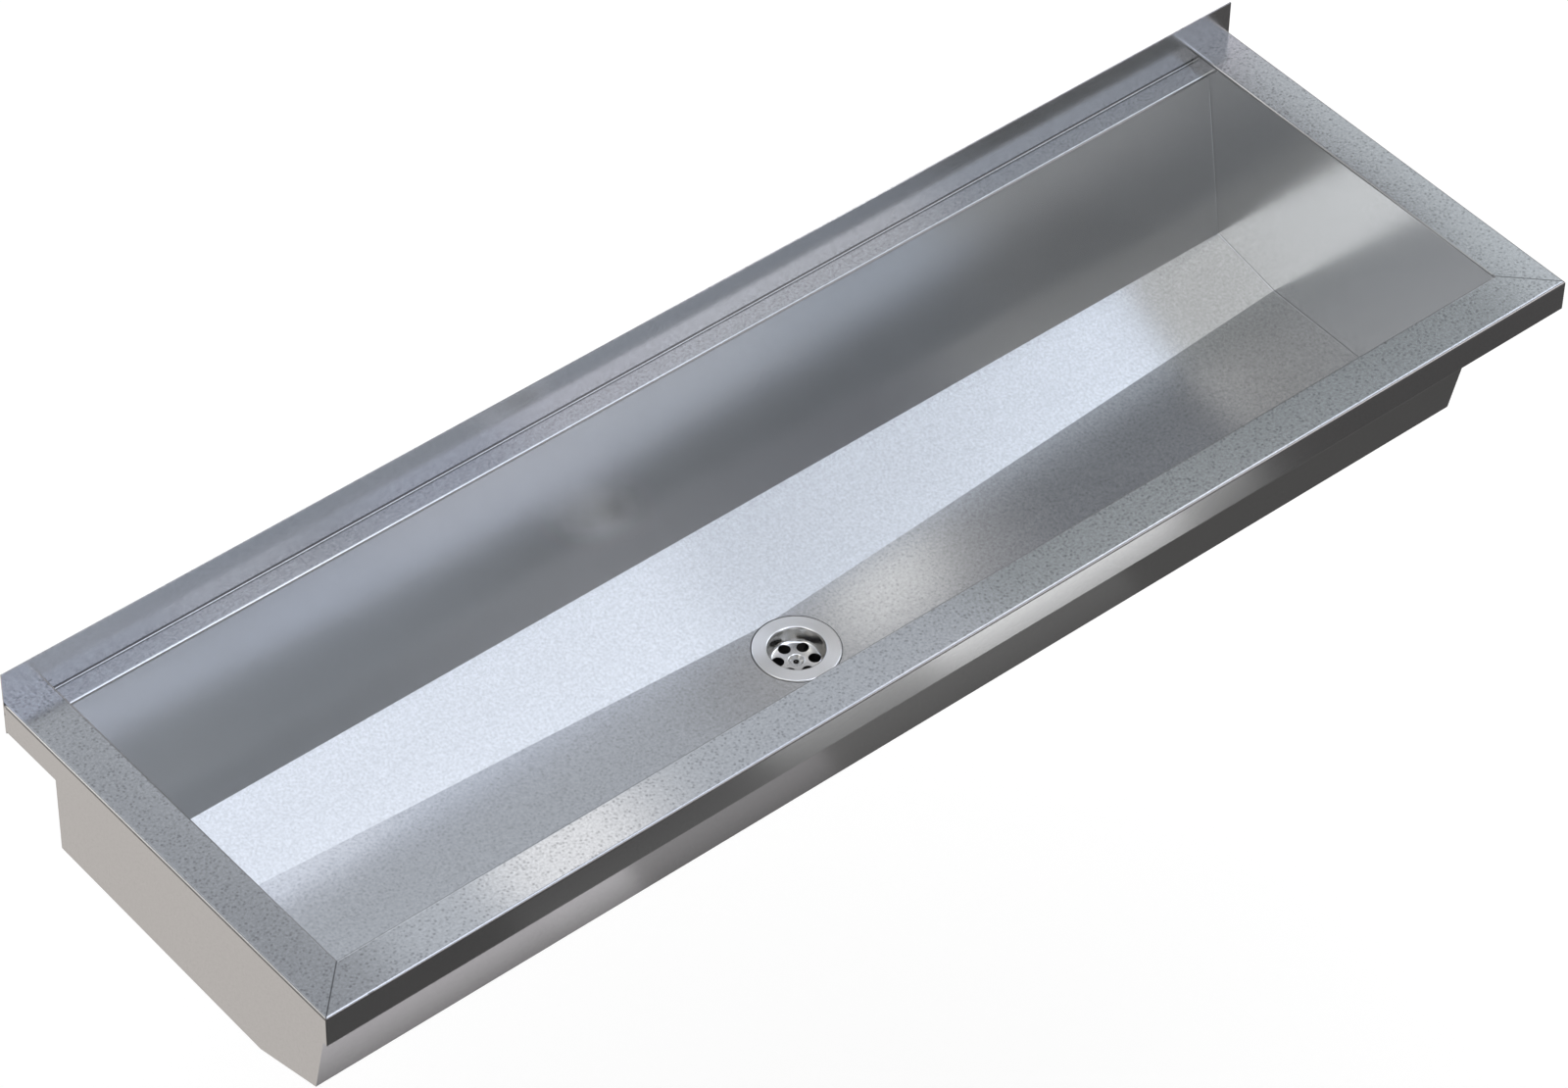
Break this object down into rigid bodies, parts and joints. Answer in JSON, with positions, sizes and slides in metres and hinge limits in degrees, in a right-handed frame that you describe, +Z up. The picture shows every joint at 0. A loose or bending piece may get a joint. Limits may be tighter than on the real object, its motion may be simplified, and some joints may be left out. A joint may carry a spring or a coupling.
{
  "type": "trough sink",
  "caption": "Long wall-hung washing trough of folded stainless sheet with a flat rim, rear upstand, floor falling to a central strainer waste, and hook-on wall brackets.",
  "frame": {"origin": "on the wall face at rim level, midway along the trough", "axes": "+X along the trough to its right end seen from the front, +Y into the wall, +Z up"},
  "size_m": [1.2, 0.386, 0.2864],
  "materials": {
    "satin_steel": "satin ground",
    "mill_steel": "mill finish",
    "bright_steel": "bright plated",
    "polished_steel": "polished",
    "sound_mat": "matt",
    "black_rubber": "matt",
    "dark_plastic": "moulded",
    "brass": "turned"
  },
  "bodies": {
    "root": {"rear_panel": "satin_steel", "front_panel": "satin_steel", "left_end_panel": "satin_steel", "right_end_panel": "satin_steel", "rear_floor_panel": "satin_steel", "front_floor_panel": "satin_steel", "left_floor_panel": "satin_steel", "right_floor_panel": "satin_steel", "left_corner_weld": "satin_steel", "right_corner_weld": "satin_steel", "drain_dish": "satin_steel", "hanging_rail": "mill_steel", "left_wall_bracket": "mill_steel", "right_wall_bracket": "mill_steel", "left_sound_mat": "sound_mat", "right_sound_mat": "sound_mat", "rear_sound_mat": "sound_mat", "bonding_lug": "mill_steel", "bonding_bolt": "bright_steel", "bonding_washers": "bright_steel", "bonding_nut": "bright_steel", "strainer": "polished_steel", "strainer_screw": "polished_steel", "flange_seal": "black_rubber", "waste_seal": "black_rubber", "waste_body": "dark_plastic", "waste_bridge": "dark_plastic", "screw_insert": "brass"}
  },
  "joints": []
}
